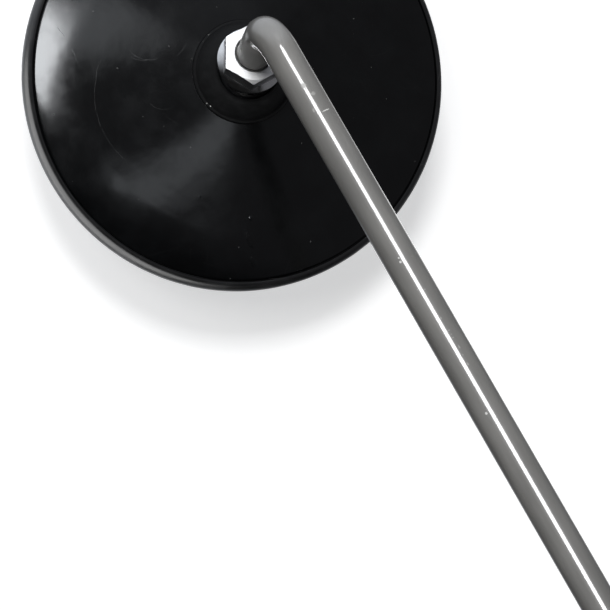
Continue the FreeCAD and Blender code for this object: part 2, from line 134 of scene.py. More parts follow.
def surface_place(tree, place):
    """Position on a piece in millimetres, measured in the frame that the piece was drawn in."""
    coordinates = add_node(tree, "ShaderNodeTexCoord")
    mapping = add_node(tree, "ShaderNodeMapping", {"vector_type": "TEXTURE"}, {
        "Vector": coordinates.outputs["Object"], "Location": place.to_translation(),
        "Rotation": place.to_euler(), "Scale": place.to_scale()})
    return mapping.outputs["Vector"]


def stretched(tree, place, reach, turn=(0.0, 0.0, 0.0)):
    """Position divided by a reach in millimetres along each axis, after a turn."""
    mapping = add_node(tree, "ShaderNodeMapping", {"vector_type": "TEXTURE"}, {
        "Vector": place, "Rotation": turn, "Scale": reach})
    return mapping.outputs["Vector"]


def noise(tree, place, scale, detail=2.0, roughness=0.5):
    grain = add_node(tree, "ShaderNodeTexNoise", sockets={
        "Vector": place, "Scale": scale, "Detail": detail, "Roughness": roughness})
    return grain.outputs[0]


def ramp(tree, value, low, high, to_low=0.0, to_high=1.0):
    """Smooth step of a value from one range to another."""
    step = add_node(tree, "ShaderNodeMapRange", {"interpolation_type": "SMOOTHSTEP"}, {
        "Value": value, "From Min": low, "From Max": high, "To Min": to_low, "To Max": to_high})
    return step.outputs["Result"]


def sums(tree, operation, first, second):
    return add_node(tree, "ShaderNodeMath", {"operation": operation}, {0: first, 1: second}).outputs[0]


def strongest(tree, weighted):
    """Mask that is the highest of several masks, each times its weight."""
    found = None
    for mask, weight in weighted:
        share = sums(tree, "MULTIPLY", mask, weight)
        found = share if found is None else sums(tree, "MAXIMUM", found, share)
    return found


def vectors(tree, operation, first, second):
    result = add_node(tree, "ShaderNodeVectorMath", {"operation": operation}, {0: first, 1: second})
    return result.outputs[0]


def dot(tree, first, second):
    product = add_node(
        tree, "ShaderNodeVectorMath", {"operation": "DOT_PRODUCT"}, {0: first, 1: second})
    return product.outputs["Value"]


def length(tree, vector):
    size = add_node(tree, "ShaderNodeVectorMath", {"operation": "LENGTH"}, {0: vector})
    return size.outputs["Value"]


def tint(tree, mask, first, second):
    """Colour that goes from the first to the second as the mask rises."""
    mix = add_node(tree, "ShaderNodeMix", {"data_type": "RGBA"}, {0: mask, 6: first, 7: second})
    return mix.outputs[2]


def raised(tree, height, depth, under=None):
    """Normal of a surface that stands out by a depth in millimetres where the height is one."""
    bump = add_node(tree, "ShaderNodeBump", sockets={"Height": height, "Distance": depth * MILLIMETRE})
    if under is not None:
        tree.links.new(under, bump.inputs["Normal"])
    return bump.outputs["Normal"]


def marks(tree, place, spots, ragged=0.35):
    """Mask of ragged spots, each with its place and its reach along the three axes."""
    rough_edge = sums(tree, "MULTIPLY", noise(tree, place, scale=1.7, detail=3.0), ragged * 2)
    found = []
    for centre, reach in spots:
        share = vectors(tree, "DIVIDE", vectors(tree, "SUBTRACT", place, centre), reach)
        spot = ramp(tree, sums(tree, "ADD", length(tree, share), rough_edge), 1.35, 0.95)
        found.append((spot, 1.0))
    return strongest(tree, found)


def new_group(name, inputs, outputs):
    """Empty node group with its way in and its way out."""
    group = bpy.data.node_groups.new(name, "ShaderNodeTree")
    for label, kind in inputs:
        group.interface.new_socket(label, in_out="INPUT", socket_type=kind)
    for label, kind in outputs:
        group.interface.new_socket(label, in_out="OUTPUT", socket_type=kind)
    return group, add_node(group, "NodeGroupInput"), add_node(group, "NodeGroupOutput")


def use_group(tree, group, sockets):
    return add_node(tree, "ShaderNodeGroup", {"node_tree": group}, sockets).outputs[0]


# Dust that lies on every outer piece, as scattered round specks of many sizes
dust_specks, way_in, way_out = new_group(
    "dust_specks",
    [("Place", "NodeSocketVector"), ("Per Millimetre", "NodeSocketFloat"),
     ("Share", "NodeSocketFloat")],
    [("Mask", "NodeSocketFloat")])
cells = add_node(dust_specks, "ShaderNodeTexVoronoi", sockets={
    "Vector": way_in.outputs["Place"], "Scale": way_in.outputs["Per Millimetre"]})
chance = add_node(dust_specks, "ShaderNodeSeparateColor", sockets={"Color": cells.outputs["Color"]})
speck_reach = sums(dust_specks, "SUBTRACT", way_in.outputs["Share"], chance.outputs["Red"])
speck = sums(dust_specks, "SUBTRACT", speck_reach, cells.outputs["Distance"])
dust_specks.links.new(ramp(dust_specks, speck, 0.0, 0.05), way_out.inputs["Mask"])

rod = bmesh.new()
bmesh.ops.create_circle(rod, cap_ends=True, segments=72, radius=CORE_RADIUS)
bmesh.ops.translate(rod, verts=rod.verts, vec=(0, 0, CORE_FOOT))
end_face = push_face(rod, rod.faces[:][0], (0, 0, STEM_FOOT - CORE_FOOT))
bmesh.ops.contextual_create(rod, geom=[edge for edge in rod.edges if edge.is_boundary])
foot_step = push_face(rod, end_face, (0, 0, 0))
bmesh.ops.scale(
    rod, vec=(STEM_RADIUS / CORE_RADIUS, STEM_RADIUS / CORE_RADIUS, 1.0), verts=foot_step.verts)
end_face = push_face(rod, foot_step, (0, 0, NECK_HEIGHT - BEND_RADIUS - STEM_FOOT))
bent = bmesh.ops.spin(
    rod, geom=[end_face], cent=(0, -BEND_RADIUS, NECK_HEIGHT - BEND_RADIUS), axis=(1, 0, 0),
    angle=math.pi / 2, steps=32)
end_face = next(item for item in bent["geom_last"] if isinstance(item, bmesh.types.BMFace))
end_face = push_face(rod, end_face, (0, NECK_END + BEND_RADIUS, 0))
bmesh.ops.bevel(
    rod, geom=list(end_face.edges), offset=NECK_ROUND, segments=6, profile=0.5, affect="EDGES",
    material=-1)
end_face = min(rod.faces, key=lambda face: face.calc_center_median().y)
push_face(rod, end_face, (0, -NECK_CORE_LENGTH, 0))

stem_paint, tree, shader = new_finish("grey_stem_paint", {"Coat Roughness": 0.05, "Coat IOR": 1.8})
place = surface_place(tree, ROW_PLACE)
along_neck = add_node(tree, "ShaderNodeSeparateXYZ", sockets={0: place}).outputs["Y"]
nicks = marks(tree, place, STEM_NICKS)
rubs_and_sheen = marks(tree, place, STEM_RUBS_AND_SHEEN, ragged=0.6)
along_stem = stretched(tree, place, (0.22, 0.22, 9.0))
fine_rubs = ramp(tree, noise(tree, along_stem, scale=1.0, detail=1.0), 0.66, 0.78)
brushed = stretched(tree, place, (5.0, 5.0, 26.0))
mottle = ramp(tree, noise(tree, brushed, scale=1.0, detail=3.0), 0.3, 0.7)
specks = use_group(tree, dust_specks, {"Place": place, "Per Millimetre": 0.55, "Share": 0.14})
# Nicks, fine rubs and dust are real marks; the paler colour of the rubbed spots is painted sheen
scrapes_and_sheen = strongest(tree, [(nicks, 1.0), (rubs_and_sheen, 0.3), (fine_rubs, 0.05), (specks, 0.3)])
tree.links.new(
    tint(tree, scrapes_and_sheen, tint(tree, mottle, PAINT_DEEP, PAINT_PALE), SCRAPE_AND_SHEEN_PAINT),
    shader.inputs["Base Color"])
# Past the bend, towards the head, the paint is duller and has no gloss coat
satin = sums(tree, "MAXIMUM", ramp(tree, along_neck, -14.0, -6.0, 0.6, 0.38), scrapes_and_sheen)
tree.links.new(sums(tree, "MINIMUM", satin, 0.6), shader.inputs["Roughness"])
bright_coat = ramp(tree, along_neck, -10.0, -4.0)
shiny = sums(tree, "MULTIPLY", ramp(tree, scrapes_and_sheen, 0.1, 0.3, 1.0, 0.1), bright_coat)
tree.links.new(shiny, shader.inputs["Coat Weight"])
peel = raised(tree, noise(tree, place, scale=0.8, detail=2.0), depth=0.012)
tree.links.new(raised(tree, nicks, depth=-0.05, under=peel), shader.inputs["Normal"])
stem = finish_piece("painted_stem", rod, ROW_PLACE, "stem", [stem_paint])
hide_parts("stem")

# Perch thread
# The lower end of the same rod, left bare of paint, with a rolled thread that screws into
# the perch. Its point is cut to a chamfer.
THREAD_PITCH = 1.25
THREAD_ROOT = 4.3
THREAD_CREST = 4.9
THREAD_END = -28.0
THREAD_CHAMFER = 1.0
STEPS_PER_TURN = 48
THREAD_TURNS = 26
THREAD_RUN_IN = 1.5
SAME_PLACE = 0.001
THREAD_FORM = (
    # radius, then height as a share of the pitch
    (THREAD_ROOT, 0.0),
    (THREAD_ROOT, 0.12),
    (THREAD_CREST, 0.43),
    (THREAD_CREST, 0.57),
    (THREAD_ROOT, 0.88),
    (THREAD_ROOT, 1.0),
)
thread = bmesh.new()
form = [
    thread.verts.new((radius, 0.0, THREAD_END + (share - THREAD_RUN_IN) * THREAD_PITCH))
    for radius, share in THREAD_FORM
]
flanks = [thread.edges.new(pair) for pair in zip(form, form[1:])]
bmesh.ops.spin(
    thread, geom=form + flanks, cent=(0, 0, 0), axis=(0, 0, 1), angle=FULL_TURN * THREAD_TURNS,
    dvec=(0, 0, THREAD_PITCH / STEPS_PER_TURN), steps=STEPS_PER_TURN * THREAD_TURNS)
bmesh.ops.remove_doubles(thread, verts=thread.verts, dist=SAME_PLACE)
for height, side in ((THREAD_END, -1), (CORE_FOOT, 1)):
    bmesh.ops.bisect_plane(
        thread, geom=thread.verts[:] + thread.edges[:] + thread.faces[:], plane_co=(0, 0, height),
        plane_no=(0, 0, side), clear_outer=True)
    rim = [
        edge for edge in thread.edges
        if edge.is_boundary and all(abs(vert.co.z - height) < SAME_PLACE for vert in edge.verts)
    ]
    bmesh.ops.contextual_create(thread, geom=rim)
for vert in thread.verts:
    reach = math.hypot(vert.co.x, vert.co.y)
    limit = THREAD_CREST - THREAD_CHAMFER + vert.co.z - THREAD_END
    if reach > limit:
        vert.co.x *= limit / reach
        vert.co.y *= limit / reach

# Marks that cutting and rolling leave on plated steel: rings round the axis and fine lines along it
machining_marks, way_in, way_out = new_group(
    "machining_marks", [("Place", "NodeSocketVector")], [("Height", "NodeSocketFloat")])
apart = add_node(machining_marks, "ShaderNodeSeparateXYZ", sockets={0: way_in.outputs["Place"]})
across = add_node(machining_marks, "ShaderNodeCombineXYZ", sockets={
    0: apart.outputs[0], 1: apart.outputs[2]})
ring_place = add_node(machining_marks, "ShaderNodeCombineXYZ", sockets={
    0: length(machining_marks, across.outputs[0])})
rings = noise(machining_marks, ring_place.outputs[0], scale=4.5, detail=3.0)
drawn_out = stretched(machining_marks, way_in.outputs["Place"], (0.3, 7.0, 0.3))
lines = noise(machining_marks, drawn_out, scale=1.0)
machining_marks.links.new(sums(machining_marks, "ADD", rings, lines), way_out.inputs["Height"])


def plated_steel(name, place_matrix, bright, dull, smooth, rough):
    """Steel that is bright in patches, clouded and stained in others, with its tool's marks."""
    finish, tree, shader = new_finish(name, {"Metallic": 1.0})
    place = surface_place(tree, place_matrix)
    height = use_group(tree, machining_marks, {"Place": place})
    cloud = ramp(tree, noise(tree, place, scale=0.45, detail=4.0, roughness=0.6), 0.35, 0.7)
    stain = use_group(tree, dust_specks, {"Place": place, "Per Millimetre": 0.8, "Share": 0.13})
    dulled = sums(tree, "MAXIMUM", cloud, stain)
    tree.links.new(tint(tree, dulled, bright, dull), shader.inputs["Base Color"])
    tree.links.new(ramp(tree, dulled, 0.0, 1.0, smooth, rough), shader.inputs["Roughness"])
    tree.links.new(raised(tree, height, depth=0.005), shader.inputs["Normal"])
    return finish


PLATE_BRIGHT = (0.82, 0.83, 0.84, 1.0)
PLATE_DULL = (0.60, 0.61, 0.62, 1.0)
PLATE_WORN = (0.42, 0.42, 0.42, 1.0)
# The drawing's upright axis stands along the stem
STEM_PLACE = ROW_PLACE @ Matrix.Rotation(math.radians(90), 4, "X")
thread_plate = plated_steel(
    "thread_plating", STEM_PLACE, PLATE_DULL, PLATE_WORN, smooth=0.3, rough=0.42)
perch_thread = finish_piece("perch_thread", thread, ROW_PLACE, "stem", [thread_plate], sharp=28.0)

# Base washer
# A turned steel washer, zinc plated, that spreads the lock nut's load on the perch. Its upper
# edge is cut to a wide chamfer.
WASHER_RADIUS = 9.75
WASHER_BORE = 5.25
WASHER_THICKNESS = 2.0
WASHER_ROUND = 0.3
WASHER_CHAMFER = 1.0
WASHER_CHAMFER_SLOPE = 30.0


def turned(outline, steps):
    """Shape turned round the upright axis from corners (radius, height, round, segments)."""
    shape = bmesh.new()
    corners = [shape.verts.new((corner[0], corner[1], 0.0)) for corner in outline]
    edges = [shape.edges.new((corners[number - 1], corners[number])) for number in range(len(corners))]
    bmesh.ops.spin(
        shape, geom=corners + edges, cent=(0, 0, 0), axis=(0, 1, 0), angle=FULL_TURN, steps=steps,
        use_merge=True)
    bmesh.ops.remove_doubles(shape, verts=shape.verts, dist=SAME_PLACE / 2)
    bmesh.ops.recalc_face_normals(shape, faces=shape.faces)
    for radius, height, *rounding in outline:
        if rounding:
            ring = [
                edge for edge in shape.edges
                if all(abs(vert.co.y - height) < SAME_PLACE for vert in edge.verts)
                and all(abs(vert.co.xz.length - radius) < SAME_PLACE for vert in edge.verts)
            ]
            bmesh.ops.bevel(
                shape, geom=ring, offset=rounding[0], segments=rounding[1], profile=0.5,
                affect="EDGES", material=-1)
    return shape


def chamfered_washer():
    coned = WASHER_CHAMFER / math.tan(math.radians(WASHER_CHAMFER_SLOPE))
    return turned([
        (WASHER_BORE, 0.0, WASHER_ROUND, 3),
        (WASHER_RADIUS, 0.0, WASHER_ROUND, 3),
        (WASHER_RADIUS, WASHER_THICKNESS - WASHER_CHAMFER, WASHER_ROUND / 2, 4),
        (WASHER_RADIUS - coned, WASHER_THICKNESS, WASHER_ROUND / 2, 4),
        (WASHER_BORE, WASHER_THICKNESS, WASHER_ROUND, 3),
    ], steps=128)


base_plate = plated_steel(
    "base_plating", STEM_PLACE, PLATE_BRIGHT, PLATE_DULL, smooth=0.2, rough=0.38)
base_washer = finish_piece(
    "coned_base_washer", chamfered_washer(), STEM_PLACE, "stem", [base_plate], sharp=15.0)
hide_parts("base_washer")

# Base lock nut
# A full hexagon nut, zinc plated, that locks the stem in the perch. Its corners are cut back
# on the lathe, and its bore is countersunk.
NUT_ACROSS_FLATS = 16.0
NUT_CORNER_CUT = 0.05
NUT_CORNER_SLOPE = 18.0
NUT_COUNTERSINK = 5.6
NUT_BORE = 4.6
NUT_EDGE = 0.14
NUT_RING_MARGIN = 1.0
NUT_SHARP = 10.0
BASE_NUT_HEIGHT = 8.0


def cut_with(piece, tool, operation):
    """Keep what is left of a piece after a cut with a tool, and remove the tool."""
    cut = piece.modifiers.new("cut", "BOOLEAN")
    cut.operation = operation
    cut.object = tool
    evaluated = piece.evaluated_get(bpy.context.evaluated_depsgraph_get())
    made = bpy.data.meshes.new_from_object(evaluated)
    piece.modifiers.clear()
    piece.data = made
    bpy.data.objects.remove(tool)


def lock_nut(name, height, place, finish):
    """Hexagon blank kept only where it lies inside a lathe-turned ring."""
    corner = NUT_ACROSS_FLATS / math.sqrt(3)
    face_radius = NUT_ACROSS_FLATS / 2 - NUT_CORNER_CUT
    outside = corner + NUT_RING_MARGIN
    drop = (outside - face_radius) * math.tan(math.radians(NUT_CORNER_SLOPE))
    ring = turned([
        (NUT_BORE, -NUT_RING_MARGIN),
        (outside, -NUT_RING_MARGIN),
        (outside, height - drop),
        (face_radius, height),
        (NUT_COUNTERSINK, height),
        (NUT_BORE, height - NUT_COUNTERSINK + NUT_BORE),
    ], steps=120)
    blank = bmesh.new()
    bmesh.ops.create_circle(blank, cap_ends=True, segments=6, radius=corner)
    bmesh.ops.rotate(
        blank, verts=blank.verts, cent=(0, 0, 0), matrix=Matrix.Rotation(math.radians(-90), 3, "X"))
    bmesh.ops.rotate(
        blank, verts=blank.verts, cent=(0, 0, 0), matrix=Matrix.Rotation(math.radians(90), 3, "Y"))
    top = bmesh.ops.extrude_face_region(blank, geom=blank.faces[:])["geom"]
    risen = [item for item in top if isinstance(item, bmesh.types.BMVert)]
    bmesh.ops.translate(blank, vec=(0, height, 0), verts=risen)
    nut = finish_piece(name, blank, place, "stem", [finish], sharp=25.0)
    cutter = finish_piece(name + "_ring", ring, place, "stem", [finish])
    edge_round = nut.modifiers.new("broken_edges", "BEVEL")
    edge_round.width = NUT_EDGE * MILLIMETRE
    edge_round.segments = 3
    cut_with(nut, cutter, "INTERSECT")
    nut.data.shade_smooth()
    nut.data.set_sharp_from_angle(angle=math.radians(NUT_SHARP))
    return nut


base_nut = lock_nut(
    "base_hexagon_nut", BASE_NUT_HEIGHT,
    STEM_PLACE @ Matrix.Translation((0, WASHER_THICKNESS, 0)), base_plate)
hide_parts("base_lock_nut")

# Head lock nut
# A thin hexagon nut of the same plated steel, turned down on the stem's upper thread against
# the washer, so that the ball stud can't unscrew.
HEAD_NUT_HEIGHT = 6.0
BALL_CENTRE = (0.0, -42.4, NECK_HEIGHT)
STUD_HEIGHT = 8.9
# The drawing's upright axis lies along the bent neck, and starts at the ball's centre
NECK_PLACE = ROW_PLACE @ Matrix.Translation(BALL_CENTRE)
NUT_BRIGHT = (0.93, 0.935, 0.94, 1.0)
head_plate = plated_steel(
    "head_plating", NECK_PLACE, NUT_BRIGHT, PLATE_BRIGHT, smooth=0.38, rough=0.5)
head_nut = lock_nut(
    "head_hexagon_nut", HEAD_NUT_HEIGHT,
    NECK_PLACE @ Matrix.Translation((0, STUD_HEIGHT + WASHER_THICKNESS, 0)), head_plate)
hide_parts("head_lock_nut")

# Head washer
# The same chamfered washer as at the base, with a smoother plating, held between the lock nut
# and the ball stud's shoulder.
washer_plate = plated_steel(
    "washer_plating", NECK_PLACE, NUT_BRIGHT, PLATE_BRIGHT, smooth=0.12, rough=0.24)
head_washer = finish_piece(
    "coned_head_washer", chamfered_washer(), NECK_PLACE @ Matrix.Translation((0, STUD_HEIGHT, 0)),
    "stem", [washer_plate], sharp=15.0)
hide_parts("head_washer")

# Ball stud
# A turned steel ball on a short neck, screwed onto the stem's end. It is polished, and it
# carries the traces of grease from its liners.
STUD_POLISHED = (0.58, 0.57, 0.55, 1.0)
STUD_GREASED = (0.30, 0.29, 0.27, 1.0)


def dress_node(name, finish):
    """Give a carried-over node its material, and return the node."""
    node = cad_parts[name]
    node.data.materials.clear()
    node.data.materials.append(finish)
    return node


stud_steel = plated_steel(
    "greased_stud_steel", NECK_PLACE, STUD_POLISHED, STUD_GREASED, smooth=0.15, rough=0.35)
stud = dress_node("ball_stud", stud_steel)

# Liners
# Two thin shells of black nylon that hold the ball from behind and from the front. They are
# moulded, and slide on both faces.
REST_TILT = -9.0
REST_PAN = -1.5
# The drawing's upright axis is the head's own axis, as the head rests on its ball
HEAD_PLACE = (
    NECK_PLACE @ Matrix.Rotation(math.radians(REST_TILT), 4, "X")
    @ Matrix.Rotation(math.radians(REST_PAN), 4, "Z"))
NYLON_BLACK = (0.010, 0.010, 0.011, 1.0)
NYLON_SLID = (0.020, 0.020, 0.021, 1.0)
nylon, tree, shader = new_finish("black_nylon")
place = surface_place(tree, HEAD_PLACE)
slid = ramp(tree, noise(tree, place, scale=0.35, detail=3.0), 0.3, 0.7)
tree.links.new(tint(tree, slid, NYLON_BLACK, NYLON_SLID), shader.inputs["Base Color"])
tree.links.new(ramp(tree, slid, 0.0, 1.0, 0.32, 0.5), shader.inputs["Roughness"])
grain = noise(tree, place, scale=4.0, detail=2.0)
tree.links.new(raised(tree, grain, depth=0.01), shader.inputs["Normal"])
for liner in ("rear_liner", "front_liner"):
    dress_node(liner, nylon)

# Housing shell
# One moulding in gloss black plastic: a shallow cone that rounds over at its shoulder, a flange
# for the rim ring, and a hub with three screw posts. Handling has left fine swirls on it.
SHELL_OUTLINE = (
    # radius and height of a corner, then its rounding and the rounding's segments
    (61.8, -17.05),
    (61.8, -14.85),
    (60.3, -14.85),
    (60.3, -13.54, 0.6, 12),
    (53.04, -10.66, 6.8, 14),
    (15.4, -3.0),
    (12.0, -3.0),
    (12.0, 0.5),
    (10.57, 4.13),
    (9.27, 4.13),
    (10.15, 0.0),
    (10.15, -12.5),
    (12.0, -12.5),
    (12.0, -5.0),
    (15.4, -5.0),
    (52.6, -12.7, 5.0, 8),
    (58.3, -15.3),
    (58.3, -17.05),
)
POST_CIRCLE = 18.0
POST_RADIUS = 3.2
POST_BORE = 1.5
POST_FOOT = -13.0
POST_HEAD = -4.6
POST_COUNT = 3
NIBS = (
    # place on the shell, then half its breadth
    ((27.9, -7.66, -26.3), 0.45),
    ((17.2, -8.5, -38.6), 0.75),
)
NIB_SHAPE = (1.0, 0.45, 1.0)
shell_shape = turned(SHELL_OUTLINE, steps=288)
for number in range(POST_COUNT):
    post = turned([
        (POST_BORE, POST_FOOT),
        (POST_RADIUS, POST_FOOT, 0.3, 2),
        (POST_RADIUS, POST_HEAD),
        (POST_BORE, POST_HEAD),
    ], steps=32)
    bmesh.ops.translate(post, verts=post.verts, vec=(POST_CIRCLE, 0, 0))
    bmesh.ops.rotate(
        post, verts=post.verts, cent=(0, 0, 0),
        matrix=Matrix.Rotation(FULL_TURN * number / POST_COUNT, 3, "Y"))
    post_mesh = bpy.data.meshes.new("post")
    post.to_mesh(post_mesh)
    post.free()
    shell_shape.from_mesh(post_mesh)
    bpy.data.meshes.remove(post_mesh)
for centre, breadth in NIBS:
    nib = bmesh.ops.create_icosphere(shell_shape, subdivisions=3, radius=breadth)["verts"]
    bmesh.ops.scale(shell_shape, vec=NIB_SHAPE, verts=nib)
    bmesh.ops.translate(shell_shape, vec=centre, verts=nib)

# Hairline scratches in three directions, bent a little, each a fraction of a millimetre wide
hairlines, way_in, way_out = new_group(
    "hairline_scratches",
    [("Place", "NodeSocketVector"), ("Share", "NodeSocketFloat")],
    [("Mask", "NodeSocketFloat")])
HAIRLINES = (
    # turn in degrees, width and length in millimetres
    (24.0, 0.22, 15.0),
    (78.0, 0.20, 21.0),
    (141.0, 0.25, 11.0),
)
HAIR_SWAY = (26.0, 26.0, 26.0)
HAIR_DEPTH = 400.0
HAIR_SOFTNESS = 0.06
sway = add_node(hairlines, "ShaderNodeTexNoise", sockets={
    "Vector": way_in.outputs["Place"], "Scale": 0.035, "Detail": 1.0})
swayed = add_node(hairlines, "ShaderNodeVectorMath", {"operation": "MULTIPLY_ADD"}, {
    0: sway.outputs["Color"], 1: HAIR_SWAY, 2: way_in.outputs["Place"]})
lowest = sums(hairlines, "SUBTRACT", 1.0, way_in.outputs["Share"])
highest = sums(hairlines, "ADD", lowest, HAIR_SOFTNESS)
scratches = []
for turn, width, reach in HAIRLINES:
    along = stretched(
        hairlines, swayed.outputs[0], (width, HAIR_DEPTH, reach), turn=(0.0, math.radians(turn), 0.0))
    scratch = ramp(hairlines, noise(hairlines, along, scale=1.0, detail=0.0), lowest, highest)
    scratches.append((scratch, 1.0))
hairlines.links.new(strongest(hairlines, scratches), way_out.inputs["Mask"])

SHELL_SWIRLS = (
    # centre across the shell, radius, middle angle and half the sweep in degrees, half the width
    ((19.7, 21.3), 6.5, -42.0, 40.0, 0.16),
    ((21.0, 22.3), 6.9, -58.0, 24.0, 0.12),
    ((15.6, 18.8), 5.8, -110.0, 25.0, 0.12),
    ((18.0, 2.5), 26.0, 24.0, 26.0, 0.13),
    ((29.8, 0.8), 14.3, -10.0, 20.0, 0.12),
    ((24.3, 5.0), 4.3, -46.0, 40.0, 0.10),
    ((84.5, 29.0), 43.7, 179.0, 9.0, 0.11),
)
# How far a swirl wanders, where its ends fade as shares of its sweep, and its full part as a share
# of its width
SWIRL_WANDER = 1.1
SWIRL_FADE_START = 0.7
SWIRL_FADE_END = 1.15
SWIRL_CORE = 0.4
SHELL_RUNS = (
    # low swellings where the plastic flowed in the mould: place, then reach along the three axes
    ((20.3, -9.8, -44.2), (0.9, 4.0, 3.6)),
    ((22.0, -11.6, -50.3), (1.1, 4.0, 2.2)),
)
SHELL_BLACK = (0.0019, 0.0020, 0.0022, 1.0)
SHELL_WORN = (0.0032, 0.0034, 0.0037, 1.0)
DUST_GREY = (0.16, 0.16, 0.155, 1.0)
shell_gloss, tree, shader = new_finish("gloss_black_shell")
place = surface_place(tree, HEAD_PLACE)
flat_place = vectors(tree, "MULTIPLY", place, (1.0, 0.0, 1.0))
arcs = []
for centre, radius, middle, sweep, breadth in SHELL_SWIRLS:
    shift = vectors(tree, "SUBTRACT", flat_place, (centre[0], 0.0, centre[1]))
    wander = sums(tree, "MULTIPLY", noise(tree, place, scale=0.25, detail=2.0), SWIRL_WANDER)
    swayed = sums(tree, "ADD", length(tree, shift), wander)
    off_line = sums(tree, "ABSOLUTE", sums(tree, "SUBTRACT", swayed, radius + SWIRL_WANDER / 2), 0.0)
    turn = math.radians(middle)
    middle_line = Vector((math.cos(turn), 0.0, math.sin(turn))) / radius
    inside = ramp(
        tree, dot(tree, shift, middle_line), math.cos(math.radians(sweep * SWIRL_FADE_END)),
        math.cos(math.radians(sweep * SWIRL_FADE_START)))
    arcs.append((ramp(tree, off_line, breadth, breadth * SWIRL_CORE), inside))
broken = ramp(tree, noise(tree, place, scale=0.9, detail=2.0), 0.3, 0.55)
swirl = sums(tree, "MULTIPLY", strongest(tree, arcs), broken)
hair = use_group(tree, hairlines, {"Place": place, "Share": 0.22})
patches = ramp(tree, noise(tree, place, scale=0.06, detail=2.0), 0.42, 0.62)
hair = sums(tree, "MULTIPLY", hair, patches)
haze = ramp(tree, noise(tree, place, scale=0.09, detail=4.0, roughness=0.6), 0.3, 0.75)
specks = use_group(tree, dust_specks, {"Place": place, "Per Millimetre": 0.5, "Share": 0.14})
scuffed = strongest(tree, [(swirl, 0.5), (hair, 0.2)])
dusty = strongest(tree, [(specks, 0.35), (scuffed, 0.12)])
tree.links.new(
    tint(tree, dusty, tint(tree, haze, SHELL_BLACK, SHELL_WORN), DUST_GREY),
    shader.inputs["Base Color"])
dulled = sums(tree, "MULTIPLY", scuffed, 0.25)
tree.links.new(
    sums(tree, "ADD", ramp(tree, haze, 0.0, 1.0, 0.13, 0.2), dulled), shader.inputs["Roughness"])
run_mark = marks(tree, place, SHELL_RUNS, ragged=0.5)
ripple = raised(tree, noise(tree, place, scale=0.12, detail=2.0), depth=0.05)
ripple = raised(tree, run_mark, depth=0.06, under=ripple)
tree.links.new(raised(tree, scuffed, depth=-0.0015, under=ripple), shader.inputs["Normal"])
shell = finish_piece("housing_cone", shell_shape, HEAD_PLACE, "head", [shell_gloss], sharp=8.0)
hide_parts("housing_shell")

# Rubber boss
# A soft black moulding pressed over the hub. It keeps water out of the ball joint, and dust
# gathers where its thin flange meets the shell.
BOSS_OUTLINE = (
    # radius and height of a corner, then its rounding and the rounding's segments
    (12.1, -3.0),
    (15.2, -3.0, 0.3, 3),
    (15.2, -2.1, 0.4, 4),
    (14.45, -1.75, 0.3, 3),
    (13.98, 2.58, 4.1, 14),
    (10.3, 5.5, 0.7, 5),
    (8.9, 5.3, 0.35, 4),
    (9.37, 4.23),
    (10.67, 4.23),
    (12.1, 0.6),
)
boss_shape = turned(BOSS_OUTLINE, steps=192)
BOSS_CRUMBS = (
    # pale crumbs along the flange: place, then reach along the three axes
    ((14.6, -1.6, -3.3), (0.45, 0.6, 0.4)),
    ((14.0, -1.6, -4.5), (0.3, 0.5, 0.35)),
    ((6.9, -1.6, 13.2), (0.3, 0.5, 0.35)),
    ((4.6, -1.6, 14.2), (0.35, 0.5, 0.3)),
    ((-9.0, -1.6, -11.6), (0.25, 0.4, 0.3)),
)
RUBBER_BLACK = (0.0085, 0.0087, 0.0091, 1.0)
RUBBER_BLOOM = (0.0128, 0.0130, 0.0136, 1.0)
CRUMB_WHITE = (0.62, 0.62, 0.60, 1.0)
boss_rubber, tree, shader = new_finish("black_boss_rubber", {"Specular IOR Level": 0.12})
place = surface_place(tree, HEAD_PLACE)
bloom = ramp(tree, noise(tree, place, scale=0.3, detail=5.0, roughness=0.65), 0.4, 0.72)
grain = noise(tree, place, scale=3.2, detail=3.0)
crumbs = marks(tree, place, BOSS_CRUMBS, ragged=0.5)
specks = use_group(tree, dust_specks, {"Place": place, "Per Millimetre": 0.9, "Share": 0.1})
dusted = strongest(tree, [(crumbs, 1.0), (specks, 0.12)])
tree.links.new(
    tint(tree, dusted, tint(tree, bloom, RUBBER_BLACK, RUBBER_BLOOM), CRUMB_WHITE),
    shader.inputs["Base Color"])
tree.links.new(ramp(tree, bloom, 0.0, 1.0, 0.5, 0.7), shader.inputs["Roughness"])
tree.links.new(raised(tree, sums(tree, "ADD", grain, crumbs), depth=0.03), shader.inputs["Normal"])
boss = finish_piece("hub_boss", boss_shape, HEAD_PLACE, "head", [boss_rubber], sharp=40.0)
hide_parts("rubber_boss")

# Pressure cup and disc spring
# The cup is moulded in black acetal and slides in the hub. The spring behind it is a coned
# washer of blued spring steel.
ACETAL_BLACK = (0.012, 0.012, 0.013, 1.0)
ACETAL_PALE = (0.028, 0.028, 0.030, 1.0)
cup_plastic, tree, shader = new_finish("black_acetal")
place = surface_place(tree, HEAD_PLACE)
sheen = ramp(tree, noise(tree, place, scale=0.5, detail=3.0), 0.3, 0.7)
tree.links.new(tint(tree, sheen, ACETAL_BLACK, ACETAL_PALE), shader.inputs["Base Color"])
tree.links.new(ramp(tree, sheen, 0.0, 1.0, 0.3, 0.45), shader.inputs["Roughness"])
grain = noise(tree, place, scale=5.0)
tree.links.new(raised(tree, grain, depth=0.01), shader.inputs["Normal"])
dress_node("pressure_cup", cup_plastic)
SPRING_BLUE = (0.20, 0.22, 0.28, 1.0)
SPRING_DARK = (0.10, 0.10, 0.12, 1.0)
spring_steel = plated_steel(
    "blued_spring_steel", HEAD_PLACE, SPRING_BLUE, SPRING_DARK, smooth=0.25, rough=0.4)
dress_node("disc_spring", spring_steel)

